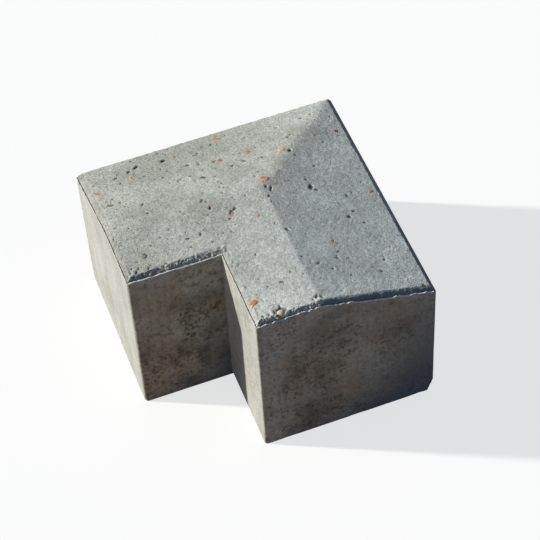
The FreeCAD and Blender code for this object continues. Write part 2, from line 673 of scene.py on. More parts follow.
@dataclass(frozen=True)
class WornTop:
    """The open top's relief: the arris, the rough skin, the chips along the rims, the pits, the lip."""

    sizes: BlockSizes
    features: SurfaceFeatures
    lip: MouldLip
    settled: float = 0.25  # how far the relief's middle lies below the true top
    outer_wear: float = 0.12  # how much wider wear has made the arris along the outer faces
    front_wear: float = 0.28  # and along the batter's end
    notch_wear: float = 0.40  # and towards the notch
    notch_wear_from: float = 8.0  # how far past the left arm's end that wear starts
    notch_wear_full: float = 5.0  # how far before the notch it is full
    notch_overlap: float = 2.0  # how far past the notch's face it still holds
    arris_rounding: tuple[float, float] = (0.65, 0.05)  # of the arris's width, on worn and crisp rims
    arris_roughness: float = 0.25  # how rough the arris is, as a share of the top's roughness
    crisp_shoulder: Span = Span(-0.5, 0.8)  # past the arris, where the crisp rims turn into the top
    worn_shoulder: Span = Span(-1.0, 3.0)  # and where the worn ones do
    to_batter: Span = Span(-4.0, 6.0)  # past the crest
    batter_wear: float = 0.35  # the arris wear on the batters, as a share of that on the level strip
    crumbling: tuple[float, float] = (0.3, 1.0)  # how crumbly the arris is on worn and crisp rims
    back_crumbling: float = 0.6  # and behind the notch, as a share
    chipping: tuple[float, float] = (0.25, 1.0)  # how chipped the shoulder is on worn and crisp rims
    chips: Layer = Layer(43, 4.0, 1.0, 3)
    chip_start: float = 0.12  # the chips' value above which the concrete has broken off
    chip_depth: float = 1.6
    chip_middle: float = 0.3  # how far past the arris the chips lie
    chip_reach: float = 0.9
    crisp_crease_shade: float = 0.6  # how much less painted shade the crease gets on the crisp rims
    pit_reach: float = 1.6  # the furthest that a pit's ragged outline goes, in radii
    pit_outline: Layer = Layer(67, 1.7, 0.35)
    heave: Layer = Layer(31, 65.0, 0.25, 2)
    lumps: Layer = Layer(37, 4.6, 0.17, 3)
    sand: Layer = Layer(41, 0.95, 0.13)
    edge_waver: Layer = Layer(11, 3.4, 0.60, 3)
    edge_crumbs: Layer = Layer(23, 1.2, 0.55)
    bevel_crumbs: Layer = Layer(47, 1.9, 1.0, 2)

    def surface(self, x: np.ndarray, y: np.ndarray) -> tuple[np.ndarray, np.ndarray, np.ndarray]:
        """The top with all its relief.

        Args:
            x: Places along X.
            y: Places along Y.

        Returns:
            The heights, how deep each place lies in a pit or in the crease behind the lip (0 to 1), which the
            top's finish paints as shade, and how far it is on the arris (0 to 1).
        """
        s = self.sizes
        spots = np.stack([x, y, np.zeros_like(x)], axis=1)
        distance, crisp, level = s.edge_distance(x, y), s.crispness(x, y), s.top(x, y)
        inward = smooth_step(distance, self.lip.width, 2.0 * self.lip.width)
        past = distance - s.arris_width
        on_top = np.where(crisp > 0.5, self.crisp_shoulder.share(past), self.worn_shoulder.share(past))
        on_batter = self.to_batter.share(np.maximum(x, y) - s.crest)
        wear = blend(on_batter, 1.0, self.batter_wear)
        ragged = wear * (self.edge_waver.at(spots) + self.edge_crumbs.at(spots))
        outside = 1.0 - (distance + ragged * inward) / self.arris_width(x, y, on_batter)
        height = level - s.arris_rise * soft_ramp(outside, blend(crisp, *self.arris_rounding))
        height += self.relief(spots, on_top, crisp, wear) * inward
        height = self.lip.raised(spots, distance, crisp, level - s.arris_rise, height)
        # Painted shade: the crease behind the lip goes into the pit mask, which darkens it like the lip's
        # shadow, less on the crisp rims.
        pit = self.lip.crease(spots, distance, crisp) * (1.0 - self.crisp_crease_shade * crisp)
        for hole in self.features.pits:
            bowl, near = self.bowl(hole, x, y)
            height[near] -= hole.depth * bowl * inward[near]
            pit[near] = np.maximum(pit[near], bowl * inward[near])
        return height, pit, 1.0 - on_top

    def arris_width(self, x: np.ndarray, y: np.ndarray, on_batter: np.ndarray) -> np.ndarray:
        """How wide wear has made the arris.

        Args:
            x: Places along X.
            y: Places along Y.
            on_batter: How far the places are on a batter, from 0 to 1.

        Returns:
            The arris's width beside each place.
        """
        s = self.sizes
        on_front = (x > s.crest) & (x - s.outer_face < s.arm_end - y)
        wider = np.where(on_front, self.front_wear, self.outer_wear) * on_batter
        by_notch = (x < s.inner_face + self.notch_overlap) & (y < s.inner_face + 2.0 * s.arris_width)
        start, full = s.arm_end + self.notch_wear_from, s.inner_face - self.notch_wear_full
        wider += self.notch_wear * by_notch * smooth_step(x, start, full)
        return s.arris_width * (1.0 + wider)

    def relief(
        self, spots: np.ndarray, on_top: np.ndarray, crisp: np.ndarray, wear: np.ndarray
    ) -> np.ndarray:
        """The rough skin and the chips along the rims.

        Args:
            spots: Places on the top.
            on_top: How far they are past the arris, from 0 to 1.
            crisp: How crisp the nearest rim is, from 0 to 1.
            wear: How strong the wear is there, from 0 to 1.

        Returns:
            The height of the skin over the true shape.
        """
        s = self.sizes
        x, y = spots[:, 0], spots[:, 1]
        on_arris = 1.0 - on_top
        roughness = on_top + self.arris_roughness * wear * on_arris
        skin = self.heave.at(spots) + roughness * (self.lumps.at(spots) + self.sand.at(spots))
        crumbly = blend(crisp, *self.crumbling) * np.where(y > s.inner_face, self.back_crumbling, 1.0)
        skin += wear * crumbly * on_arris * self.bevel_crumbs.at(spots)
        from_chips = (s.edge_distance(x, y) - s.arris_width - self.chip_middle) / self.chip_reach
        lost = np.maximum(self.chips.at(spots) - self.chip_start, 0.0) * np.exp(-(from_chips**2))
        chipped = self.chip_depth * wear * lost * blend(crisp, *self.chipping)
        return skin - chipped - self.settled * on_top

    def bowl(self, hole: Pit, x: np.ndarray, y: np.ndarray) -> tuple[np.ndarray, np.ndarray]:
        """How deep each place lies in one pit.

        Args:
            hole: The pit.
            x: Places along X.
            y: Places along Y.

        Returns:
            The share of the pit's depth at the places near it, and which places those are.
        """
        reach = self.pit_reach * hole.radius * hole.stretch
        near = np.flatnonzero((np.abs(x - hole.x) < reach) & (np.abs(y - hole.y) < reach))
        turn = math.radians(hole.turn)
        dx, dy = x[near] - hole.x, y[near] - hole.y
        along = (dx * math.cos(turn) + dy * math.sin(turn)) / hole.stretch
        across = dy * math.cos(turn) - dx * math.sin(turn)
        spots = np.stack([x[near], y[near], np.zeros(len(near))], axis=1)
        share = np.hypot(along, across) * (1.0 + self.pit_outline.at(spots)) / hole.radius
        return np.sqrt(np.clip(1.0 - share**2, 0.0, 1.0)), near


@dataclass(frozen=True)
class FaceWear:
    """How the upright faces lie off their true planes: a slight heave, worn corners and a worn foot."""

    sizes: BlockSizes
    heave: Layer = Layer(71, 42.0, 0.12, 2)
    set_back: float = 0.06  # how far in the heave's middle lies
    corner_wear: Layer = Layer(79, 9.0, 1.0, 3)
    corner_start: float = 0.1  # the corner wear's value above which the corner is worn
    corner_least: float = 0.05  # how deep every corner is worn
    corner_depth: float = 0.7
    corner_reach: Span = Span(0.4, 2.6)  # away from the corner
    below_rim: Span = Span(0.0, 5.0)
    foot_wear: Layer = Layer(83, 12.0, 1.0, 3)
    foot_squash: tuple[float, float, float] = (1.0, 1.0, 0.3)  # makes its lumps taller
    foot_start: float = 0.2  # the foot wear's value above which the foot is worn
    foot_depth: float = 0.6
    foot_reach: Span = Span(0.5, 3.5)  # above the bed
    edge_depth: float = 0.25  # how far in the bed's edge is rounded
    edge_reach: Span = Span(0.0, 1.3)  # above the bed

    def shift(self, plan: np.ndarray, z: np.ndarray, rim: np.ndarray) -> np.ndarray:
        """How far each place on the upright faces lies outside the true face.

        Args:
            plan: Places in the plan, one row each.
            z: Their heights.
            rim: The height of the rim above them.

        Returns:
            The shift outwards; it is below zero where the concrete is worn or chipped.
        """
        spots = np.column_stack([plan, z])
        gap = np.full(len(plan), FAR)
        for x, y, _, _, _ in self.sizes.corners:
            gap = np.minimum(gap, np.hypot(plan[:, 0] - x, plan[:, 1] - y))
        worn = np.maximum(self.corner_wear.at(spots) - self.corner_start, 0.0)
        corner = (1.0 - self.corner_reach.share(gap)) * (self.corner_least + self.corner_depth * worn)
        worn = np.maximum(self.foot_wear.at(spots * self.foot_squash) - self.foot_start, 0.0)
        foot = (1.0 - self.foot_reach.share(z)) * self.foot_depth * worn
        foot += (1.0 - self.edge_reach.share(z)) * self.edge_depth
        return self.heave.at(spots) - self.set_back - corner * self.below_rim.share(rim - z) - foot


@dataclass(frozen=True)
class WeatheringAndShade:
    """How stained and pale the block's surface is, and where painted shade is laid on it: on the faces turned
    from the key, at the right of the foot of the faces that look along -Y, and as a dark blue tint on the
    arris of the crisp rims.
    """

    sizes: BlockSizes
    skin: Span = Span(0.3, 1.5)  # how far off a face a place still belongs to it
    outer_skin: Span = Span(-6.0, -0.5)  # the same for the outer faces, from outside, past the bevel
    # Real mottling with painted shade: the strengths below are highest on the faces that the key leaves in
    # shade, and at the foot.
    end_stain_and_shade: tuple[float, float] = (1.15, 0.85)  # at the foot and at the top
    inner_stain_and_shade: tuple[float, float] = (2.1, 0.65)
    outer_stain_and_shade: float = 0.75
    back_stain_and_shade: float = 0.45
    notch_stain_and_shade: float = 0.38  # that of the face in the notch that looks along -X
    least_stain_and_shade: float = 0.18  # that of the faces least stained and least shaded
    # Painted shade at the right of the foot of the two faces that look along -Y:
    foot_shade_edge: Layer = Layer(91, 26.0, 9.0, 3)
    end_foot_shade: Span = Span(0.0, 75.0)  # along X at the foot
    end_lean: float = 0.55  # how far along X the damp's edge moves for each step up
    inner_foot_shade: Span = Span(-110.0, -25.0)
    inner_lean: float = 0.8
    pale_edge: Layer = Layer(93, 40.0, 18.0, 2)
    to_pale: Span = Span(-45.0, 60.0)  # along X less along Y
    to_batter: Span = Span(-4.0, 6.0)  # past the crest
    level_arris_shade: float = 0.45  # the painted shade on the level strip's arris, as a share of the batters'
    # where, and how far, the arris's painted shade is weakened past the notch and at the back face
    past_notch: Span = Span(-1.0, 0.0)  # past the notch along Y
    past_notch_arris_shade: float = 0.4
    at_back: Span = Span(-6.0, -4.0)  # past the back face
    back_arris_shade: float = 0.5

    def on_end(self, points: np.ndarray) -> np.ndarray:
        """How far places belong to the right arm's end face, from 0 to 1."""
        return 1.0 - self.skin.share(points[:, 1] - self.sizes.arm_end)

    def on_inner(self, points: np.ndarray) -> np.ndarray:
        """How far places belong to the left arm's face that looks along -Y, from 0 to 1."""
        off_face = np.abs(points[:, 1] - self.sizes.inner_face)
        return (1.0 - self.skin.share(off_face)) * (points[:, 0] < self.sizes.inner_face)

    def in_notch(self, points: np.ndarray) -> np.ndarray:
        """How far places belong to the right arm's face that looks along -X, from 0 to 1."""
        off_face = np.abs(points[:, 0] - self.sizes.inner_face)
        return (1.0 - self.skin.share(off_face)) * (points[:, 1] < self.sizes.inner_face)

    def stain_and_shade(self, points: np.ndarray) -> np.ndarray:
        """How strongly the dark mottling shows, with painted shade added: it is stronger on the faces that
        the key leaves in shade, and on the two faces that look along -Y towards their foot.

        Args:
            points: Places on the block's surface.

        Returns:
            The strength at each place. The faces across the Y axis are the most mottled and shaded.
        """
        s = self.sizes
        rise = points[:, 2] / s.level_height
        marks = [
            self.on_end(points) * blend(rise, *self.end_stain_and_shade),
            self.on_inner(points) * blend(rise, *self.inner_stain_and_shade),
            self.in_notch(points) * self.notch_stain_and_shade,
            self.outer_skin.share(points[:, 0] - s.outer_face) * self.outer_stain_and_shade,
            self.outer_skin.share(points[:, 1] - s.outer_face) * self.back_stain_and_shade,
        ]
        return np.clip(np.maximum.reduce(marks), self.least_stain_and_shade, None)

    def foot_shade(self, points: np.ndarray) -> np.ndarray:
        """How much painted shade darkens the two faces that look along -Y, most at the right of their foot.

        Args:
            points: Places on the block's surface.

        Returns:
            The painted shade at each place, from 0 to 1.
        """
        x, z = points[:, 0] + self.foot_shade_edge.at(points), points[:, 2]
        on_end = self.on_end(points) * self.end_foot_shade.share(x - self.end_lean * z)
        return on_end + self.on_inner(points) * self.inner_foot_shade.share(x - self.inner_lean * z)

    def paleness(self, points: np.ndarray) -> np.ndarray:
        """How pale and closed the top is: the right arm's is paler and smoother than the left arm's."""
        return self.to_pale.share(points[:, 0] - points[:, 1] + self.pale_edge.at(points))

    def paste(self, x: np.ndarray, y: np.ndarray, arris: np.ndarray) -> np.ndarray:
        """How much painted shade, a dark blue tint, lies on the arris of the crisp rims.

        Args:
            x: Places along X.
            y: Places along Y.
            arris: How far they are on the arris, from 0 to 1.

        Returns:
            The share of painted shade at each place.
        """
        s = self.sizes
        strip = blend(self.to_batter.share(np.maximum(x, y) - s.crest), self.level_arris_shade, 1.0)
        behind = blend(self.past_notch.share(y - s.inner_face), 1.0, self.past_notch_arris_shade)
        at_back = blend(self.at_back.share(y - s.outer_face), 1.0, self.back_arris_shade)
        return arris * s.crispness(x, y) * strip * behind * at_back


@dataclass(frozen=True)
class KerbBody:
    """The block itself, as one closed mesh."""

    sizes: BlockSizes
    top: WornTop
    wear: FaceWear
    weathering_and_shade: WeatheringAndShade
    cell: float = 0.8  # spacing of the mesh over the top
    edge_cell: float = 0.3  # and beside the upright faces
    edge_band: float = 4.8
    below_rim: tuple[float, ...] = (0.5, 1.1, 1.9, 3.0, 4.6, 6.8)  # mesh rows down the faces
    above_bed: tuple[float, ...] = (14.0, 11.8, 10.5, 9.2, 6.8, 4.4, 2.4, 1.2, 0.5, 0.0)
    face_rows: int = 11  # mesh rows between those
    bed_cell: float = 3.2
    bed_margin: float = 0.5  # how far the bed's points keep from its outline, in cells
    bed_shake: float = 0.15  # how far they are shaken, in cells
    bed_seed: int = 5
    bed_heave: Layer = Layer(89, 9.0, 0.12, 3)
    sharp_angle: float = 52.0

    def lines(self) -> np.ndarray:
        """The mesh lines across the plan, the same both ways, closer beside the upright faces."""
        s = self.sizes
        stops = [
            (s.arm_end, s.arm_end + self.edge_band, self.edge_cell),
            (s.arm_end + self.edge_band, s.inner_face, self.cell),
            (s.inner_face, s.inner_face + self.edge_band, self.edge_cell),
            (s.inner_face + self.edge_band, s.outer_face - self.edge_band, self.cell),
            (s.outer_face - self.edge_band, s.outer_face, self.edge_cell),
        ]
        runs = [np.linspace(a, b, round((b - a) / cell) + 1)[:-1] for a, b, cell in stops]
        return np.concatenate(runs + [np.array([s.outer_face])])

    def rim_path(self, last: int, corner: int) -> list[tuple[int, int]]:
        """The plan's outline as mesh line numbers, anticlockwise from the outer corner.

        Args:
            last: The number of the last mesh line.
            corner: The number of the line that the inner faces stand on.

        Returns:
            Pairs of line numbers along X and Y.
        """
        turns = [(last, last), (0, last), (0, corner), (corner, corner), (corner, 0), (last, 0), (last, last)]
        path: list[tuple[int, int]] = []
        for (i, j), (k, m) in zip(turns[:-1], turns[1:]):
            count = max(abs(k - i), abs(m - j))
            step_x, step_y = (k > i) - (k < i), (m > j) - (m < j)
            path += [(i + n * step_x, j + n * step_y) for n in range(count)]
        return path

    def row_heights(self, rim: np.ndarray) -> list[np.ndarray]:
        """The heights of the mesh rows down the upright faces, below the rim.

        Args:
            rim: The height of the rim at each column.

        Returns:
            One row of heights for each mesh row, from the highest to the bed.
        """
        rows = [rim - drop for drop in self.below_rim]
        for share in np.linspace(0.0, 1.0, self.face_rows + 2)[1:-1]:
            rows.append((rim - self.below_rim[-1]) * (1.0 - share) + self.above_bed[0] * share)
        return rows + [np.full_like(rim, height) for height in self.above_bed]

    def bed_points(self, outline: np.ndarray) -> tuple[np.ndarray, list[tuple[int, int, int]]]:
        """Fills the bed face inside its outline.

        Args:
            outline: The plan of the foot, anticlockwise.

        Returns:
            The extra points inside the outline, and triangles that count the outline's points first.
        """
        s = self.sizes
        rng = np.random.default_rng(self.bed_seed)
        margin = self.bed_margin * self.bed_cell
        steps = np.arange(s.arm_end + self.bed_cell, s.outer_face - margin, self.bed_cell)
        gx, gy = (g.ravel() for g in np.meshgrid(steps, steps))
        keep = s.edge_distance(gx, gy) > margin
        keep &= np.maximum(gx, gy) < s.outer_face - s.bevel_depth - margin
        inner = np.column_stack([gx[keep], gy[keep]])
        inner += rng.uniform(-self.bed_shake, self.bed_shake, inner.shape) * self.bed_cell
        spots = [Vector(p) for p in np.vstack([outline, inner])]
        ring = list(range(len(outline)))
        fill_inside = 1
        found = geometry.delaunay_2d_cdt(spots, [], [ring], fill_inside, ROUNDING)
        origin = [names[0] for names in found[3]]
        triangles = [tuple(origin[v] for v in face) for face in found[2]]
        points = np.column_stack([inner, np.zeros(len(inner))])
        points[:, 2] = self.bed_heave.depth + self.bed_heave.at(points)
        return points, triangles

    def face_points(self, plan: np.ndarray, rim: np.ndarray) -> tuple[np.ndarray, list[np.ndarray]]:
        """The points of the upright faces.

        Args:
            plan: The rim's places in the plan.
            rim: Its heights.

        Returns:
            The rim's own places with the wear of the faces, and the points of each mesh row below it.
        """
        outward = self.sizes.outward(plan)
        worn_plan = plan + outward * self.wear.shift(plan, rim, rim)[:, None]
        rows = []
        for level in self.row_heights(rim):
            shifted = plan + outward * self.wear.shift(plan, level, rim)[:, None]
            rows.append(np.column_stack([self.sizes.set_in_foot(shifted, level), level]))
        return worn_plan, rows

    def build(self) -> bpy.types.Object:
        """Builds the block's mesh with its surface attributes.

        Returns:
            The block as an object, with no materials yet.
        """
        s = self.sizes
        lines = self.lines()
        last = len(lines) - 1
        corner = int(np.argmin(np.abs(lines - s.inner_face)))
        number = np.full((last + 1, last + 1), -1)
        i, j = np.meshgrid(np.arange(last + 1), np.arange(last + 1), indexing="ij")
        inside = (i >= corner) | (j >= corner)
        number[inside] = np.arange(inside.sum())
        x, y = lines[i[inside]], lines[j[inside]]
        height, pit, arris = self.top.surface(x, y)
        top = np.column_stack([s.round_corners(np.column_stack([x, y])), height])

        path = self.rim_path(last, corner)
        rim = np.array([number[a, b] for a, b in path])
        worn_plan, rows = self.face_points(top[rim, :2], top[rim, 2])
        top[rim, :2] = worn_plan
        bed, bed_triangles = self.bed_points(rows[-1][:, :2])
        points = np.vstack([top] + rows + [bed])

        faces, slots = self.top_faces(number, corner, lines)
        upper = rim
        for row in range(len(rows)):
            lower = len(top) + row * len(path) + np.arange(len(path))
            faces += np.column_stack([upper, lower, np.roll(lower, -1), np.roll(upper, -1)]).tolist()
            upper = lower
        lookup = np.concatenate([upper, len(points) - len(bed) + np.arange(len(bed))])
        for triangle in bed_triangles:
            a, b, c = (int(lookup[v]) for v in triangle)
            faces.append([a, c, b] if self.turns_left(points[[a, b, c], :2]) else [a, b, c])
        slots += [Finish.MOULDED.value] * (len(faces) - len(slots))

        mesh = bpy.data.meshes.new("kerb_concrete")
        mesh.from_pydata((points * MM).tolist(), [], faces)
        mesh.polygons.foreach_set("material_index", slots)
        mesh.shade_smooth()
        mesh.set_sharp_from_angle(angle=math.radians(self.sharp_angle))
        plain = np.zeros(len(points) - len(top))
        self.attribute(mesh, "pit", np.concatenate([pit, plain]))
        self.attribute(mesh, "arris", np.concatenate([arris, plain + 1.0]))
        self.attribute(mesh, "paste", np.concatenate([self.weathering_and_shade.paste(x, y, arris), plain]))
        self.attribute(mesh, "tinge", np.concatenate([self.top.features.tinge(x, y), plain]))
        self.attribute(mesh, "stain_and_shade", self.weathering_and_shade.stain_and_shade(points))
        self.attribute(mesh, "foot_shade", self.weathering_and_shade.foot_shade(points))
        self.attribute(mesh, "pale", self.weathering_and_shade.paleness(points))
        body = bpy.data.objects.new("kerb_concrete", mesh)
        bpy.context.scene.collection.objects.link(body)
        triangles = sum(len(face) - 2 for face in faces)
        LOG.info("kerb_concrete: %d points, %d triangles", len(points), triangles)
        return body

    def top_faces(
        self, number: np.ndarray, corner: int, lines: np.ndarray
    ) -> tuple[list[list[int]], list[int]]:
        """The top's four-sided faces and their finishes.

        Args:
            number: The point's number at each crossing of mesh lines, or -1.
            corner: The number of the line that the inner faces stand on.
            lines: The places of the mesh lines.

        Returns:
            The faces, and the material slot of each.
        """
        count = len(lines) - 1
        i, j = (g.ravel() for g in np.meshgrid(np.arange(count), np.arange(count), indexing="ij"))
        solid = (i >= corner) | (j >= corner)
        i, j = i[solid], j[solid]
        faces = np.column_stack([number[i, j], number[i + 1, j], number[i + 1, j + 1], number[i, j + 1]])
        middles = (lines[:-1] + lines[1:]) / 2
        on_lip = self.top.lip.covers(middles[i], middles[j])
        slots = np.where(on_lip, Finish.LIP.value, Finish.OPEN_TEXTURE.value)
        return faces.tolist(), slots.tolist()

    @staticmethod
    def turns_left(corners: np.ndarray) -> bool:
        """Whether three places in the plan run anticlockwise."""
        (ax, ay), (bx, by) = corners[1] - corners[0], corners[2] - corners[0]
        return bool(ax * by - ay * bx > 0)

    @staticmethod
    def attribute(mesh: bpy.types.Mesh, name: str, values: np.ndarray) -> None:
        """Stores one number for each point of the mesh."""
        layer = mesh.attributes.new(name, "FLOAT", "POINT")
        layer.data.foreach_set("value", values.astype(np.float32))


@dataclass
class ExposedStones:
    """The aggregate that shows in the open top, each stone set into the surface."""

    top: WornTop
    seed: int = 19
    feeling: float = 0.8  # how far from a stone's middle the surface is felt
    levels: tuple[int, int] = (2, 3)  # how finely small and large stones are meshed
    large: float = 1.4  # the radius above which a stone is large
    seat_rounding: float = 0.2  # of the arris, as a share of its width
    tilt: float = 0.35
    slimness: tuple[float, float] = (0.68, 0.95)
    lumps: Layer = Layer(97, 1.0, 0.30, 2)
    lump_scale: float = 1.1
    variety: float = 50.0  # how far apart in the lumps' noise two stones may lie
    worn_flat: float = 0.8  # how much of what stands too proud is worn off

    def build(self) -> bpy.types.Object:
        """Builds all the stones as one mesh.

        Returns:
            The stones as an object; the material slots follow the order of Aggregate.
        """
        rng = np.random.default_rng(self.seed)
        small, large = (self.ball(level) for level in self.levels)
        kinds = list(Aggregate)
        points: list[np.ndarray] = []
        faces: list[list[int]] = []
        slots: list[int] = []
        count = 0
        stones = self.top.features.stones
        spots = np.array([[stone.x, stone.y] for stone in stones])
        around = (spots[:, None, :] + self.around).reshape(-1, 2)
        felt = self.top.surface(around[:, 0], around[:, 1])[0]
        heights = felt.reshape(len(stones), -1).mean(axis=1)
        for stone, height in zip(stones, heights):
            verts, tris = large if stone.radius > self.large else small
            placed = self.settle(stone, height, verts, rng)
            points.append(placed)
            faces += (tris + count).tolist()
            slots += [kinds.index(stone.kind)] * len(tris)
            count += len(placed)
        mesh = bpy.data.meshes.new("exposed_aggregate")
        mesh.from_pydata((np.vstack(points) * MM).tolist(), [], faces)
        mesh.polygons.foreach_set("material_index", slots)
        mesh.shade_smooth()
        aggregate = bpy.data.objects.new("exposed_aggregate", mesh)
        bpy.context.scene.collection.objects.link(aggregate)
        LOG.info("exposed_aggregate: %d stones, %d triangles", len(stones), len(faces))
        return aggregate

    @property
    def around(self) -> np.ndarray:
        """The places about a stone's middle, from it, at which the surface is felt."""
        reach = self.feeling
        return np.array([[0.0, 0.0], [reach, 0.0], [-reach, 0.0], [0.0, reach], [0.0, -reach]])

    @staticmethod
    def ball(level: int) -> tuple[np.ndarray, np.ndarray]:
        """The points and triangles of a ball of radius 1."""
        form = bmesh.new()
        bmesh.ops.create_icosphere(form, subdivisions=level, radius=1.0)
        verts = np.array([v.co[:] for v in form.verts])
        tris = np.array([[v.index for v in f.verts] for f in form.faces])
        form.free()
        return verts, tris

    def facing(self, stone: Stone) -> np.ndarray:
        """Which way is out of the surface at a stone."""
        if stone.height is not None:
            return np.array([0.0, -1.0, 0.0])
        s = self.top.sizes
        x, y = (np.array([stone.x, stone.y]) + self.around).T
        slope_left = soft_ramp(1.0 - s.edge_distance(x, y) / s.arris_width, self.seat_rounding)
        z = s.top(x, y) - s.arris_rise * slope_left
        normal = np.array([z[2] - z[1], z[4] - z[3], 2.0 * self.feeling])
        return normal / np.linalg.norm(normal)

    def settle(self, stone: Stone, height: float, ball: np.ndarray, rng: np.random.Generator) -> np.ndarray:
        """Shapes one stone and sets it into the surface.

        Args:
            stone: The stone.
            height: The height of the top where it sits.
            ball: The points of a ball of radius 1.
            rng: The random numbers for its shape.

        Returns:
            The stone's points in the block's frame.
        """
        normal = self.facing(stone)
        angle = rng.uniform(0.0, math.tau)
        side = np.array([math.cos(angle), math.sin(angle), self.tilt * math.sin(2.0 * angle)])
        side -= normal * side.dot(normal)
        side /= np.linalg.norm(side)
        radii = stone.radius * np.array([1.0, rng.uniform(*self.slimness), stone.flatness])
        lumps = self.lumps.at(ball * self.lump_scale + rng.uniform(0, self.variety, 3))
        shaped = ball * radii * (1.0 + lumps)[:, None]
        depth = stone.sunk * radii[2]
        above = np.maximum(shaped[:, 2] - depth - stone.proud, 0.0)
        shaped[:, 2] -= self.worn_flat * above + depth
        seat = np.array([stone.x, stone.y, height if stone.height is None else stone.height])
        return seat + shaped @ np.array([side, np.cross(normal, side), normal])


Colour = tuple[float, float, float]
Socket = bpy.types.NodeSocket


@dataclass(frozen=True)
class Grain:
    """A soft random pattern in a finish."""

    size: float  # of its coarsest lumps, in millimetres
    detail: float  # how many finer layers it has
    rough: float  # how strong those are
    low: float = 0.0  # the raw noise at which the pattern starts
    high: float = 1.0  # and the noise at which it is full
    start: float = 0.0  # what it gives below low
    end: float = 1.0  # what it gives above high
    tall: float = 1.0  # how much taller than wide its lumps are


@dataclass(frozen=True)
class Spots:
    """Small ragged spots scattered at random in a finish. Lengths are in millimetres."""

    spacing: float
    radius: float
    share: float  # of the cells that have a spot
    shake: float  # how far their outlines wander
    strength: float  # of their colour
    depth: float = 0.0  # of their hollows
    sizes: tuple[float, float] = (0.65, 1.35)  # the smallest and the largest, as shares of the radius
    edge: tuple[float, float] = (0.7, 1.1)  # where they start to fade and end, in radii
    shake_size: float = 1.9  # the size of what shifts together, in shakes
    cut: float = 0.01  # how softly a cell is chosen


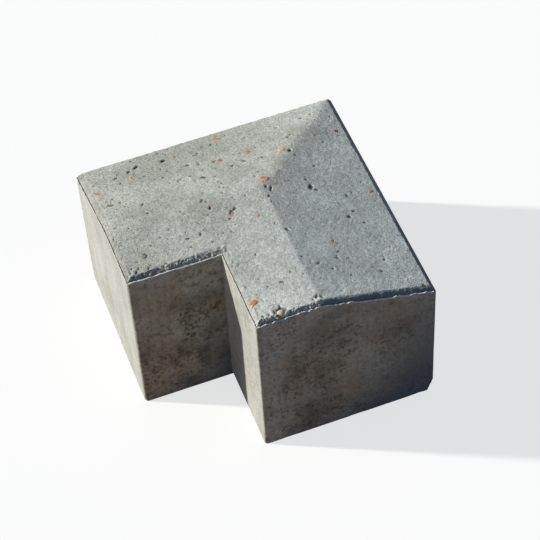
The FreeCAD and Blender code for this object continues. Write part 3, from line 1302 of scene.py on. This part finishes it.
class Graph:
    """Wires up one material, with sizes given in millimetres on the object."""

    def __init__(self, name: str, roughness: float, specular: float) -> None:
        """Starts a material with one Principled shader.

        Args:
            name: The material's name.
            roughness: The shader's roughness.
            specular: The shader's specular level.
        """
        self.material = bpy.data.materials.new(name)
        self.material.use_nodes = True
        self.tree = self.material.node_tree
        self.shader = self.tree.nodes["Principled BSDF"]
        self.shader.inputs["Roughness"].default_value = roughness
        self.shader.inputs["Specular IOR Level"].default_value = specular
        self.place = self.tree.nodes.new("ShaderNodeTexCoord").outputs["Object"]

    def node(self, kind: str, inputs: dict[str | int, object], **settings: object) -> bpy.types.Node:
        """Adds a node.

        Args:
            kind: The node's type.
            inputs: Its input sockets' values, or the sockets that feed them.
            **settings: The node's own settings.

        Returns:
            The new node.
        """
        made = self.tree.nodes.new(kind)
        for name, value in settings.items():
            setattr(made, name, value)
        for name, value in inputs.items():
            if isinstance(value, bpy.types.NodeSocket):
                self.tree.links.new(value, made.inputs[name])
            else:
                made.inputs[name].default_value = value
        return made

    def math(self, operation: str, a: Socket | float, b: Socket | float = 0.0) -> Socket:
        """One sum on two numbers."""
        return self.node("ShaderNodeMath", {0: a, 1: b}, operation=operation).outputs[0]

    def step(self, value: Socket, low: float, high: float, start: float = 0.0, end: float = 1.0) -> Socket:
        """A soft step between two numbers.

        Args:
            value: The number to map.
            low: Where the step starts.
            high: Where it ends.
            start: What it gives below low.
            end: What it gives above high.

        Returns:
            The mapped number.
        """
        ports = {"Value": value, "From Min": low, "From Max": high, "To Min": start, "To Max": end}
        return self.node("ShaderNodeMapRange", ports, interpolation_type="SMOOTHSTEP").outputs[0]

    def noise(self, grain: Grain) -> Socket:
        """The raw noise of a pattern, from 0 to 1."""
        place = self.place
        if grain.tall != 1.0:
            ports = {"Vector": place, "Scale": (1.0, 1.0, 1.0 / grain.tall)}
            place = self.node("ShaderNodeMapping", ports).outputs[0]
        ports = {"Vector": place, "Scale": 1.0 / (grain.size * MM), "Detail": grain.detail}
        ports["Roughness"] = grain.rough
        return self.node("ShaderNodeTexNoise", ports).outputs[0]

    def pattern(self, grain: Grain) -> Socket:
        """A pattern, mapped as its grain says."""
        return self.step(self.noise(grain), grain.low, grain.high, grain.start, grain.end)

    def shaken(self, reach: float, size: float) -> Socket:
        """The place on the object, shifted about at random so that round cells turn ragged.

        Args:
            reach: How far a place shifts, in millimetres.
            size: The size of the lumps that shift together.

        Returns:
            The shifted place.
        """
        ports = {"Vector": self.place, "Scale": 1.0 / (size * MM), "Detail": 1.0}
        push = self.node("ShaderNodeTexNoise", ports).outputs["Color"]
        kind = "ShaderNodeVectorMath"
        centred = self.node(kind, {0: push, 1: (0.5, 0.5, 0.5)}, operation="SUBTRACT").outputs[0]
        scaled = self.node(kind, {0: centred, "Scale": 2.0 * reach * MM}, operation="SCALE").outputs[0]
        return self.node(kind, {0: self.place, 1: scaled}, operation="ADD").outputs[0]

    def cells(self, place: Socket, size: float) -> tuple[Socket, Socket, Socket]:
        """Scattered cells.

        Args:
            place: The place on the object.
            size: The spacing of the cells in millimetres.

        Returns:
            The distance from the cell's middle as a share of the spacing, and two random numbers of the cell.
        """
        found = self.node("ShaderNodeTexVoronoi", {"Vector": place, "Scale": 1.0 / (size * MM)})
        split = self.node("ShaderNodeSeparateColor", {"Color": found.outputs["Color"]})
        return found.outputs["Distance"], split.outputs[0], split.outputs[1]

    def spots(self, spots: Spots) -> tuple[Socket, Socket]:
        """Small spots scattered at random.

        Args:
            spots: Their sizes.

        Returns:
            How much each place lies on a spot, and a random number of that spot.
        """
        place = self.shaken(spots.shake, spots.shake_size * spots.shake)
        distance, first, second = self.cells(place, spots.spacing)
        wide = self.step(second, 0.0, 1.0, *spots.sizes)
        scaled = self.math("DIVIDE", distance, wide)
        reach = spots.radius / spots.spacing
        inside = self.step(scaled, reach * spots.edge[0], reach * spots.edge[1], 1.0, 0.0)
        there = self.step(first, 1.0 - spots.share - spots.cut, 1.0 - spots.share + spots.cut)
        return self.math("MULTIPLY", inside, there), second

    def total(self, *parts: Socket) -> Socket:
        """The sum of several numbers."""
        whole = parts[0]
        for part in parts[1:]:
            whole = self.math("ADD", whole, part)
        return whole

    def attribute(self, name: str) -> Socket:
        """A number stored on the mesh's points."""
        found = self.node("ShaderNodeAttribute", {}, attribute_name=name)
        return found.outputs["Fac"]

    def mix(self, amount: Socket | float, a: Socket | Colour, b: Socket | Colour) -> Socket:
        """A blend of two colours."""
        ports = {0: amount, 6: self.rgba(a), 7: self.rgba(b)}
        return self.node("ShaderNodeMix", ports, data_type="RGBA").outputs[2]

    @staticmethod
    def rgba(colour: Socket | Colour) -> Socket | tuple[float, ...]:
        """A colour with its alpha, or the socket unchanged."""
        return colour if isinstance(colour, bpy.types.NodeSocket) else (*colour, 1.0)

    def tint(self, colour: Socket, by: Socket) -> Socket:
        """A colour multiplied by another."""
        return self.node("ShaderNodeVectorMath", {0: colour, 1: by}, operation="MULTIPLY").outputs[0]

    def shade(self, colour: Socket, level: Socket) -> Socket:
        """A colour made lighter or darker by a number around 1."""
        return self.node("ShaderNodeVectorMath", {0: colour, "Scale": level}, operation="SCALE").outputs[0]

    def finish(self, colour: Socket, height: Socket) -> bpy.types.Material:
        """Joins the colour and the fine relief to the shader.

        Args:
            colour: The surface colour.
            height: The fine relief in millimetres.

        Returns:
            The material.
        """
        metres = self.math("MULTIPLY", height, MM)
        bump = self.node("ShaderNodeBump", {"Height": metres, "Distance": 1.0, "Strength": 1.0})
        self.tree.links.new(colour, self.shader.inputs["Base Color"])
        self.tree.links.new(bump.outputs[0], self.shader.inputs["Normal"])
        return self.material


@dataclass(frozen=True)
class OpenTextureFinish:
    """The sandy open top of semi-dry concrete, with grains, fine pores and small coloured stones; painted
    shade darkens its pores, pits and the crease behind the lip, and tints the arris of the crisp rims.
    """

    pale: Colour = (0.54, 0.55, 0.508)
    grey: Colour = (0.41, 0.422, 0.384)
    # painted shade: the dark blue of the arris where the key leaves it to the sky light alone
    arris_shade_tint: Colour = (0.15, 0.182, 0.222)
    arris_shade_strength: float = 0.75  # how far the arris's painted shade goes to its tint
    dust: Colour = (0.50, 0.37, 0.25)
    dust_strength: float = 0.45
    pit_strength: float = 0.8
    arris_relief: float = 2.6  # how much rougher the arris is than the top
    # painted shade: the near black of the pores, which stands for the shade inside them
    pore: Colour = (0.075, 0.08, 0.075)
    # painted shade: the near black of the pits and of the crease behind the lip
    pit: Colour = (0.05, 0.052, 0.045)
    rusty: Colour = (0.42, 0.26, 0.16)
    sandy: Colour = (0.52, 0.45, 0.33)
    cloud: Grain = Grain(34.0, 4.0, 0.6, 0.36, 0.66)
    left_tone: Colour = (0.955, 0.945, 0.935)  # the left arm is darker
    right_tone: Colour = (1.145, 1.16, 1.205)  # and the right one paler and cooler
    worn_tone: float = 0.86  # of the worn arris, next to the top
    arm_open: tuple[float, float] = (1.0, 0.35)  # how open the pores are, likewise
    fine: Grain = Grain(0.8, 2.0, 0.7, 0.25, 0.75, -0.17, 0.17)
    sand_size: float = 1.05
    sand_shake: tuple[float, float] = (0.3, 0.8)  # how far its outlines wander, and in what lumps
    arris_blend: tuple[float, float] = (0.2, 0.9)  # where the top's look turns into the arris's
    relief_blend: tuple[float, float] = (0.3, 0.9)  # and where its relief does
    arris_open: float = 0.3  # how open the pores are on the arris
    pit_blend: tuple[float, float] = (0.15, 0.8)  # the depths at which a pit's painted shade starts and is full
    sand_tone: tuple[float, float] = (0.82, 1.16)
    patches: Grain = Grain(17.0, 2.0, 0.5, 0.35, 0.6, 0.35, 1.0)
    warm_grains: Spots = Spots(4.4, 0.6, 0.15, 0.5, 0.6)
    small_pores: Spots = Spots(2.2, 0.38, 0.42, 0.6, 0.65, 0.25)
    large_pores: Spots = Spots(5.6, 0.66, 0.50, 1.0, 0.75, 0.40)
    relief: Grain = Grain(1.15, 4.0, 0.75)
    relief_depth: float = 0.42
    sand_depth: float = 0.10
    roughness: float = 0.93
    specular: float = 0.15

    def material(self) -> bpy.types.Material:
        """Makes the material."""
        g = Graph("open_texture_concrete", self.roughness, self.specular)
        arris, pit, pale = g.attribute("arris"), g.attribute("pit"), g.attribute("pale")
        colour = g.mix(g.pattern(self.cloud), self.grey, self.pale)
        colour = g.tint(colour, g.mix(pale, self.left_tone, self.right_tone))
        colour = g.shade(colour, g.step(arris, *self.arris_blend, 1.0, self.worn_tone))
        # Painted shade: the arris of the crisp rims is tinted dark blue.
        colour = g.mix(g.math("MULTIPLY", g.attribute("paste"), self.arris_shade_strength), colour, self.arris_shade_tint)
        colour = g.mix(g.math("MULTIPLY", g.attribute("tinge"), self.dust_strength), colour, self.dust)
        coloured, which = g.spots(self.warm_grains)
        warm = g.mix(which, self.rusty, self.sandy)
        colour = g.mix(g.math("MULTIPLY", coloured, self.warm_grains.strength), colour, warm)
        _, sand, _ = g.cells(g.shaken(*self.sand_shake), self.sand_size)
        level = g.total(g.step(sand, 0.0, 1.0, *self.sand_tone), g.pattern(self.fine))
        colour = g.shade(colour, level)
        on_arris = g.step(arris, *self.arris_blend, 1.0, self.arris_open)
        openness = g.math("MULTIPLY", g.pattern(self.patches), on_arris)
        openness = g.math("MULTIPLY", openness, g.step(pale, 0.0, 1.0, *self.arm_open))
        heights = [g.math("MULTIPLY", sand, self.sand_depth)]
        # Painted shade: each pore is darkened towards near black as well as hollowed by the bump.
        for pores in (self.small_pores, self.large_pores):
            found = g.math("MULTIPLY", g.spots(pores)[0], openness)
            colour = g.mix(g.math("MULTIPLY", found, pores.strength), colour, self.pore)
            heights.append(g.math("MULTIPLY", found, -pores.depth))
        # Painted shade: the pits and the crease behind the lip are darkened towards near black.
        colour = g.mix(g.step(pit, *self.pit_blend, 0.0, self.pit_strength), colour, self.pit)
        skin = g.math("MULTIPLY", g.noise(self.relief), self.relief_depth)
        heights.append(g.math("MULTIPLY", skin, g.step(arris, *self.relief_blend, 1.0, self.arris_relief)))
        return g.finish(colour, g.total(*heights))


@dataclass(frozen=True)
class MouldedFinish:
    """The closed, smoother faces that the mould's sides formed, streaked and mottled, with painted shade:
    darker and warmer on the faces turned from the key, darker towards the right of the foot, and dark in the
    holes.
    """

    pale: Colour = (0.555, 0.57, 0.55)
    # partly painted shade: this warm dark stands in part for the warm bounce light on the faces turned from
    # the key
    warm: Colour = (0.405, 0.34, 0.27)
    smudge: Colour = (0.365, 0.36, 0.345)
    smudges: Grain = Grain(26.0, 4.0, 0.62, 0.42, 0.70, 0.0, 0.55, 2.0)
    dark: Colour = (0.12, 0.10, 0.075)
    rusty: Colour = (0.40, 0.20, 0.10)
    # painted shade: the near black of the holes, which stands for the shade inside them
    hole: Colour = (0.05, 0.045, 0.04)
    # painted shade: a cool dark at the right of the foot of the faces that look along -Y
    foot_shade: Colour = (0.14, 0.165, 0.195)
    foot_shade_strength: float = 0.75
    tone: Grain = Grain(45.0, 3.0, 0.55, 0.35, 0.70, 0.35, 1.0)
    broad: Grain = Grain(30.0, 5.0, 0.62, 0.42, 0.70, tall=1.2)
    broad_strength: float = 0.60
    blots: Grain = Grain(8.0, 5.0, 0.75, 0.48, 0.70, tall=0.8)
    blot_strength: float = 0.95
    clusters: Grain = Grain(30.0, 3.0, 0.6, 0.42, 0.60, 0.40, 1.0)
    flecks: Grain = Grain(2.8, 3.0, 0.7, 0.48, 0.66, tall=1.1)
    fleck_strength: float = 0.85
    streaks: Grain = Grain(2.2, 2.0, 0.5, 0.3, 0.7, 0.93, 1.05, 40.0)
    sand: Grain = Grain(0.9, 2.0, 0.7, 0.25, 0.75, -0.19, 0.19)
    rust_spots: Spots = Spots(13.0, 1.1, 0.14, 0.6, 0.6)
    holes: Spots = Spots(7.5, 0.7, 0.24, 0.8, 0.75, 0.5)
    relief: Grain = Grain(1.1, 3.0, 0.65)
    relief_depth: float = 0.16
    streak_depth: float = 0.08
    stain_and_shade_blend: tuple[float, float] = (0.2, 0.9)  # the stain and shade value at which holes are fewest, and all there
    fewest_holes: float = 0.3
    roughness: float = 0.88
    specular: float = 0.12

    def material(self) -> bpy.types.Material:
        """Makes the material."""
        g = Graph("moulded_concrete", self.roughness, self.specular)
        # The stain_and_shade attribute carries real mottling and painted shade on the faces turned from the
        # key.
        stain_and_shade = g.attribute("stain_and_shade")
        colour = g.mix(g.pattern(self.smudges), self.pale, self.smudge)
        colour = g.mix(g.math("MULTIPLY", g.pattern(self.tone), stain_and_shade), colour, self.warm)
        clustered = g.math("MULTIPLY", g.pattern(self.clusters), stain_and_shade)
        marks = (
            (self.broad, stain_and_shade, self.broad_strength),
            (self.blots, clustered, self.blot_strength),
            (self.flecks, clustered, self.fleck_strength),
        )
        for grain, where, strength in marks:
            amount = g.math("MULTIPLY", g.pattern(grain), where)
            colour = g.mix(g.math("MULTIPLY", amount, strength), colour, self.dark)
        colour = g.shade(colour, g.total(g.pattern(self.streaks), g.pattern(self.sand)))
        rust, _ = g.spots(self.rust_spots)
        colour = g.mix(g.math("MULTIPLY", rust, self.rust_spots.strength), colour, self.rusty)
        # Painted shade towards the right of the foot of the faces that look along -Y.
        colour = g.mix(g.math("MULTIPLY", g.attribute("foot_shade"), self.foot_shade_strength), colour, self.foot_shade)
        fewer = g.step(stain_and_shade, *self.stain_and_shade_blend, self.fewest_holes, 1.0)
        holes = g.math("MULTIPLY", g.spots(self.holes)[0], fewer)
        # Painted shade: the holes are darkened towards near black as well as hollowed by the bump.
        colour = g.mix(g.math("MULTIPLY", holes, self.holes.strength), colour, self.hole)
        heights = [g.math("MULTIPLY", holes, -self.holes.depth)]
        heights.append(g.math("MULTIPLY", g.noise(self.relief), self.relief_depth))
        heights.append(g.math("MULTIPLY", g.noise(self.streaks), self.streak_depth))
        return g.finish(colour, g.total(*heights))


@dataclass(frozen=True)
class LipCrustAndHighlight:
    """The thin crust of cement paste on the lip along the rims, made paler than the crust so that it also
    paints the bright highlight of the lit lip.
    """

    # painted highlight: pale enough to give the lip's bright lit line
    pale: Colour = (0.74, 0.735, 0.70)
    grey: Colour = (0.52, 0.52, 0.49)
    blotches: Grain = Grain(2.0, 3.0, 0.65, 0.34, 0.58)
    relief: Grain = Grain(0.8, 3.0, 0.7)
    relief_depth: float = 0.15
    roughness: float = 0.9
    specular: float = 0.15

    def material(self) -> bpy.types.Material:
        """Makes the material."""
        g = Graph("cement_lip_and_highlight", self.roughness, self.specular)
        colour = g.mix(g.pattern(self.blotches), self.grey, self.pale)
        return g.finish(colour, g.math("MULTIPLY", g.noise(self.relief), self.relief_depth))


@dataclass(frozen=True)
class StoneFinish:
    """One kind of exposed aggregate, dusted with cement."""

    kind: Aggregate
    dust: Colour = (0.46, 0.46, 0.43)
    lighter: float = 1.3
    darker: float = 0.65
    mottle: Grain = Grain(1.5, 3.0, 0.6, 0.3, 0.7)
    dusting: Grain = Grain(1.3, 4.0, 0.75, 0.46, 0.64, 0.05, 0.85)
    relief: Grain = Grain(0.6, 3.0, 0.6)
    relief_depth: float = 0.15
    roughness: float = 0.75
    specular: float = 0.2

    def material(self) -> bpy.types.Material:
        """Makes the material."""
        g = Graph("aggregate_" + self.kind.name.lower(), self.roughness, self.specular)
        light = tuple(self.lighter * part for part in self.kind.value)
        dark = tuple(self.darker * part for part in self.kind.value)
        colour = g.mix(g.pattern(self.mottle), dark, light)
        colour = g.mix(g.pattern(self.dusting), colour, self.dust)
        return g.finish(colour, g.math("MULTIPLY", g.noise(self.relief), self.relief_depth))


@dataclass(frozen=True)
class Studio:
    """The pale floor, the light and the camera."""

    to_key: tuple[float, float, float] = (-0.756, 0.371, 0.539)
    key_level: float = 1.45  # what the key adds to a surface that faces it, where 1 shows a colour as written
    key_angle: float = 2.0
    key_colour: Colour = (1.0, 0.978, 0.895)
    fill: Colour = (0.105, 0.150, 0.225)
    floor_half: float = 4.0  # metres
    floor_drop: float = 0.05  # how far it lies below the bed
    floor_bounce: Colour = (0.34, 0.27, 0.21)
    floor_colour: Colour = (0.93, 0.93, 0.925)
    floor_glow: float = 0.72
    azimuth: float = -17.37
    elevation: float = 50.92
    roll: float = -4.03
    aim: tuple[float, float, float] = (12.2, 1.4, 60.0)
    distance: float = 1359.7
    lens: float = 130.75
    clip: tuple[float, float] = (0.05, 20.0)  # metres

    def build(self) -> None:
        """Makes the floor, the light and the camera."""
        self.floor()
        self.key()
        self.world()
        self.camera()
        LOG.info("studio: floor, key light, soft fill and camera")

    @staticmethod
    def shown_ray(tree: bpy.types.NodeTree) -> Socket:
        """1 for rays that show the backdrop itself: those of the camera, of gloss and of glass."""
        path = tree.nodes.new("ShaderNodeLightPath")
        total = path.outputs["Is Camera Ray"]
        for name in ("Is Glossy Ray", "Is Transmission Ray"):
            either = tree.nodes.new("ShaderNodeMath")
            either.operation = "MAXIMUM"
            tree.links.new(total, either.inputs[0])
            tree.links.new(path.outputs[name], either.inputs[1])
            total = either.outputs[0]
        return total

    def floor(self) -> None:
        """Makes the floor: near white to look at, darker in the light that it throws back."""
        h = self.floor_half
        mesh = bpy.data.meshes.new("floor")
        z = -self.floor_drop * MM
        mesh.from_pydata([(-h, -h, z), (h, -h, z), (h, h, z), (-h, h, z)], [], [(0, 1, 2, 3)])
        floor = bpy.data.objects.new("floor", mesh)
        bpy.context.scene.collection.objects.link(floor)
        material = bpy.data.materials.new("studio_floor")
        material.use_nodes = True
        tree = material.node_tree
        tree.nodes.clear()
        seen, bounce = tree.nodes.new("ShaderNodeBsdfDiffuse"), tree.nodes.new("ShaderNodeBsdfDiffuse")
        seen.inputs["Color"].default_value = (*self.floor_colour, 1.0)
        bounce.inputs["Color"].default_value = (*self.floor_bounce, 1.0)
        glow = tree.nodes.new("ShaderNodeEmission")
        blend, choose = tree.nodes.new("ShaderNodeMixShader"), tree.nodes.new("ShaderNodeMixShader")
        blend.inputs[0].default_value = self.floor_glow
        tree.links.new(seen.outputs[0], blend.inputs[1])
        tree.links.new(glow.outputs[0], blend.inputs[2])
        tree.links.new(self.shown_ray(tree), choose.inputs[0])
        tree.links.new(bounce.outputs[0], choose.inputs[1])
        tree.links.new(blend.outputs[0], choose.inputs[2])
        out = tree.nodes.new("ShaderNodeOutputMaterial")
        tree.links.new(choose.outputs[0], out.inputs["Surface"])
        mesh.materials.append(material)

    def key(self) -> None:
        """Makes the key light, which comes from behind on the left."""
        lamp = bpy.data.lights.new("key", "SUN")
        lamp.energy = self.key_level * math.pi
        lamp.angle = math.radians(self.key_angle)
        lamp.color = self.key_colour
        key = bpy.data.objects.new("key", lamp)
        key.rotation_mode = "QUATERNION"
        key.rotation_quaternion = Vector(self.to_key).to_track_quat("Z", "Y")
        bpy.context.scene.collection.objects.link(key)

    def world(self) -> None:
        """Makes the soft fill and the white backdrop."""
        world = bpy.data.worlds.new("studio")
        bpy.context.scene.world = world
        world.use_nodes = True
        tree = world.node_tree
        tree.nodes.clear()
        fill, white = tree.nodes.new("ShaderNodeBackground"), tree.nodes.new("ShaderNodeBackground")
        fill.inputs["Color"].default_value = (*self.fill, 1.0)
        white.inputs["Color"].default_value = (1.0, 1.0, 1.0, 1.0)
        choose = tree.nodes.new("ShaderNodeMixShader")
        tree.links.new(self.shown_ray(tree), choose.inputs[0])
        tree.links.new(fill.outputs[0], choose.inputs[1])
        tree.links.new(white.outputs[0], choose.inputs[2])
        out = tree.nodes.new("ShaderNodeOutputWorld")
        tree.links.new(choose.outputs[0], out.inputs["Surface"])

    def camera(self) -> None:
        """Makes the camera: it looks down on the notch of the L from the front left."""
        a, e, r = (math.radians(v) for v in (self.azimuth, self.elevation, self.roll))
        back = Vector((math.sin(a) * math.cos(e), -math.cos(a) * math.cos(e), math.sin(e)))
        level = Vector((math.cos(a), math.sin(a), 0.0))
        rise = back.cross(level)
        right = level * math.cos(r) + rise * math.sin(r)
        up = back.cross(right)
        data = bpy.data.cameras.new("camera")
        data.lens = self.lens
        data.clip_start, data.clip_end = self.clip
        camera = bpy.data.objects.new("camera", data)
        turn = Matrix((right, up, back)).transposed()
        place = (Vector(self.aim) + back * self.distance) * MM
        camera.matrix_world = Matrix.Translation(place) @ turn.to_4x4()
        bpy.context.scene.collection.objects.link(camera)
        bpy.context.scene.camera = camera


def main() -> None:
    """Builds the block, its finishes and the studio around the frame."""
    logging.basicConfig(level=logging.INFO, format="%(name)s: %(message)s")
    sizes = BlockSizes.from_frame()
    features = SurfaceFeatures(sizes)
    features.place()
    top = WornTop(sizes, features, MouldLip(sizes))
    body = KerbBody(sizes, top, FaceWear(sizes), WeatheringAndShade(sizes)).build()
    for finish in (OpenTextureFinish(), MouldedFinish(), LipCrustAndHighlight()):
        body.data.materials.append(finish.material())
    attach(body, BODY)
    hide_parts(NODE)
    stones = ExposedStones(top).build()
    for kind in Aggregate:
        stones.data.materials.append(StoneFinish(kind).material())
    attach(stones, BODY)
    Studio().build()
    bpy.context.scene.view_settings.view_transform = "Standard"


if __name__ == "__main__":
    main()
